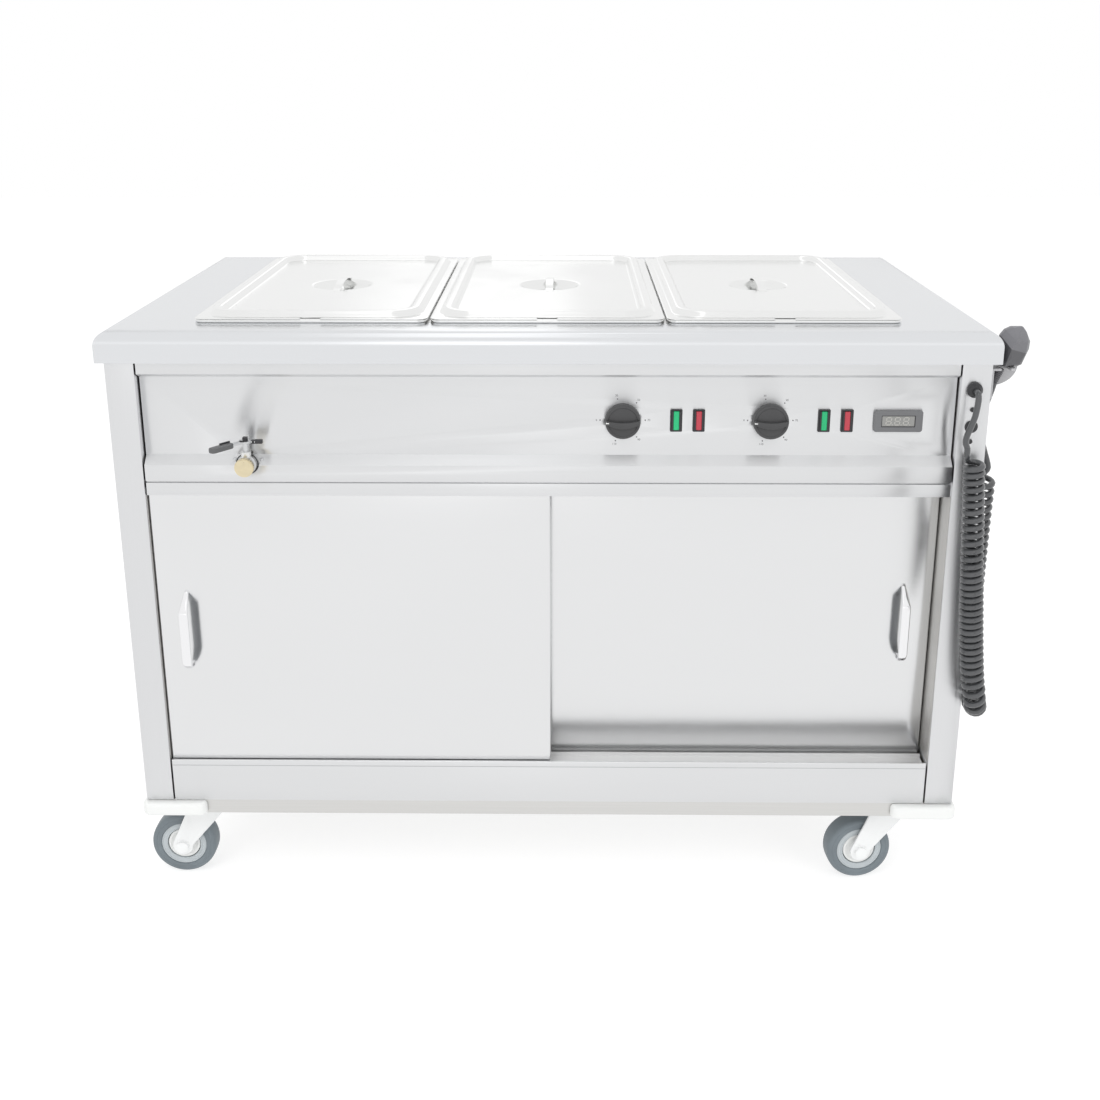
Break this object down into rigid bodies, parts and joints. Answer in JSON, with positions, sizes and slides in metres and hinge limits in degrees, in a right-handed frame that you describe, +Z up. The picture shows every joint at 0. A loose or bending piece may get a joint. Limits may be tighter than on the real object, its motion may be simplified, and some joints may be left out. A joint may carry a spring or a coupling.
{
  "type": "mobile serving counter",
  "caption": "Heated serving counter on castors: a wet well with lidded pans in the worktop, a cupboard with sliding doors, a drain tap and a curly mains cord.",
  "frame": {"origin": "on the floor, under the middle of the whole counter without its mains cord", "axes": "+X to the right of a person who faces the doors, +Y from the front to the back, +Z up; the doors and controls face -Y"},
  "size_m": [1.2856, 0.6946, 0.894],
  "materials": {
    "stainless": "bright brushed, soft sheen",
    "inner_steel": "mill finish, dull",
    "chassis_steel": "dull, slightly brown",
    "pan_steel": "pressed, satin",
    "chromed": "polished",
    "lever_steel": "satin; the sleeves are black plastic",
    "rod_sheath": "heat-dulled dark metal",
    "insulation": "mineral wool",
    "control_body": "plain moulding",
    "black_trim": "fine satin",
    "lamp_lens": "clear tinted; every second lens is red",
    "window": "dark clear",
    "knob_grey": "satin dark grey",
    "cap_brass": "dull, cast",
    "bumper_white": "satin moulding",
    "fork_white": "smooth coat",
    "tyre_grey": "smooth blue-grey; the hub is white plastic",
    "pedal_grey": "smooth coat",
    "cord_grey": "satin",
    "plug_grey": "satin dark grey, pins of metal",
    "park_grey": "smooth coat"
  },
  "bodies": {
    "cabinet": {"worktop": "stainless", "well_tank": "inner_steel", "cross_bars": "inner_steel", "well_element": "rod_sheath", "left_side_panel": "stainless", "right_side_panel": "stainless", "back_panel": "inner_steel", "base_panel": "inner_steel", "cupboard_liners": "inner_steel", "cupboard_floor": "inner_steel", "cupboard_ceiling": "inner_steel", "mid_shelf": "inner_steel", "insulation_slabs": "insulation", "control_fascia": "stainless", "door_header": "stainless", "bottom_track": "stainless", "plinth_rail": "stainless", "cupboard_element": "rod_sheath", "thermostats": "control_body", "terminal_block": "control_body", "lamp_bezels": "black_trim", "lamp_lenses": "lamp_lens", "display_bezel": "black_trim", "display_window": "window", "drain_valve": "inner_steel", "chassis_frame": "chassis_steel", "corner_bumpers": "bumper_white", "caster_plates": "inner_steel", "caster_bolts": "inner_steel", "cord_gland": "black_trim", "post_fittings": "black_trim", "plug_park": "park_grey", "cord_lead": "cord_grey", "curly_cord": "cord_grey", "cord_tail": "cord_grey", "plug": "plug_grey"},
    "left_door": {"left_door": "stainless", "left_handle": "chromed"},
    "right_door": {"right_door": "stainless", "right_handle": "chromed"},
    "well_knob": {"well_knob": "knob_grey"},
    "cupboard_knob": {"cupboard_knob": "knob_grey"},
    "drain_lever": {"drain_lever": "lever_steel"},
    "drain_cap": {"drain_cap": "cap_brass"},
    "pan_1": {"pan_1": "pan_steel"},
    "pan_2": {"pan_2": "pan_steel"},
    "pan_3": {"pan_3": "pan_steel"},
    "lid_1": {"lid_1": "pan_steel"},
    "lid_2": {"lid_2": "pan_steel"},
    "lid_3": {"lid_3": "pan_steel"},
    "fork_fl": {"fork_fl": "fork_white"},
    "fork_fr": {"fork_fr": "fork_white"},
    "fork_rl": {"fork_rl": "fork_white"},
    "fork_rr": {"fork_rr": "fork_white"},
    "wheel_fl": {"wheel_fl": "tyre_grey"},
    "wheel_fr": {"wheel_fr": "tyre_grey"},
    "wheel_rl": {"wheel_rl": "tyre_grey"},
    "wheel_rr": {"wheel_rr": "tyre_grey"},
    "brake_pedal_rl": {"brake_pedal_rl": "pedal_grey"},
    "brake_pedal_rr": {"brake_pedal_rr": "pedal_grey"}
  },
  "joints": [
    {"name": "left_door_slide", "type": "slide", "parent": "cabinet", "child": "left_door", "axis": [1, 0, 0], "range_m": [0, 0.488]},
    {"name": "right_door_slide", "type": "slide", "parent": "cabinet", "child": "right_door", "axis": [1, 0, 0], "range_m": [-0.488, 0]},
    {"name": "well_knob_turn", "type": "hinge", "parent": "cabinet", "child": "well_knob", "pos_m": [0.104, -0.28475, 0.753], "axis": [0, 1, 0], "range_deg": [0, 285]},
    {"name": "cupboard_knob_turn", "type": "hinge", "parent": "cabinet", "child": "cupboard_knob", "pos_m": [0.3065, -0.28475, 0.753], "axis": [0, 1, 0], "range_deg": [0, 285]},
    {"name": "drain_lever_turn", "type": "hinge", "parent": "cabinet", "child": "drain_lever", "pos_m": [-0.414, -0.30075, 0.725], "axis": [0, 0, 1], "range_deg": [-60, 30]},
    {"name": "drain_cap_pull", "type": "slide", "parent": "cabinet", "child": "drain_cap", "axis": [0, -1, 0], "range_m": [0, 0.05]},
    {"name": "pan_1_lift", "type": "slide", "parent": "cabinet", "child": "pan_1", "axis": [0, 0, 1], "range_m": [0, 0.2]},
    {"name": "lid_1_lift", "type": "slide", "parent": "pan_1", "child": "lid_1", "axis": [0, 0, 1], "range_m": [0, 0.2]},
    {"name": "pan_2_lift", "type": "slide", "parent": "cabinet", "child": "pan_2", "axis": [0, 0, 1], "range_m": [0, 0.2]},
    {"name": "lid_2_lift", "type": "slide", "parent": "pan_2", "child": "lid_2", "axis": [0, 0, 1], "range_m": [0, 0.2]},
    {"name": "pan_3_lift", "type": "slide", "parent": "cabinet", "child": "pan_3", "axis": [0, 0, 1], "range_m": [0, 0.2]},
    {"name": "lid_3_lift", "type": "slide", "parent": "pan_3", "child": "lid_3", "axis": [0, 0, 1], "range_m": [0, 0.2]},
    {"name": "front_left_swivel", "type": "hinge", "parent": "cabinet", "child": "fork_fl", "pos_m": [-0.524, -0.22975, 0.13], "axis": [0, 0, 1], "continuous": true},
    {"name": "front_left_roll", "type": "hinge", "parent": "fork_fl", "child": "wheel_fl", "pos_m": [-0.569, -0.22975, 0.05], "axis": [0, 1, 0], "continuous": true},
    {"name": "front_right_swivel", "type": "hinge", "parent": "cabinet", "child": "fork_fr", "pos_m": [0.524, -0.22975, 0.13], "axis": [0, 0, 1], "continuous": true},
    {"name": "front_right_roll", "type": "hinge", "parent": "fork_fr", "child": "wheel_fr", "pos_m": [0.47925, -0.23445, 0.05], "axis": [-0.1045, 0.9945, 0], "continuous": true},
    {"name": "rear_left_swivel", "type": "hinge", "parent": "cabinet", "child": "fork_rl", "pos_m": [-0.524, 0.27025, 0.13], "axis": [0, 0, 1], "continuous": true},
    {"name": "rear_left_roll", "type": "hinge", "parent": "fork_rl", "child": "wheel_rl", "pos_m": [-0.56845, 0.27729, 0.05], "axis": [0.1564, 0.9877, 0], "continuous": true},
    {"name": "rear_left_brake", "type": "hinge", "parent": "fork_rl", "child": "brake_pedal_rl", "pos_m": [-0.5319, 0.2715, 0.112], "axis": [-0.1564, -0.9877, 0], "range_deg": [0, 8]},
    {"name": "rear_right_swivel", "type": "hinge", "parent": "cabinet", "child": "fork_rr", "pos_m": [0.524, 0.27025, 0.13], "axis": [0, 0, 1], "continuous": true},
    {"name": "rear_right_roll", "type": "hinge", "parent": "fork_rr", "child": "wheel_rr", "pos_m": [0.48015, 0.26013, 0.05], "axis": [-0.225, 0.9744, 0], "continuous": true},
    {"name": "rear_right_brake", "type": "hinge", "parent": "fork_rr", "child": "brake_pedal_rr", "pos_m": [0.51621, 0.26845, 0.112], "axis": [0.225, -0.9744, 0], "range_deg": [0, 8]}
  ]
}
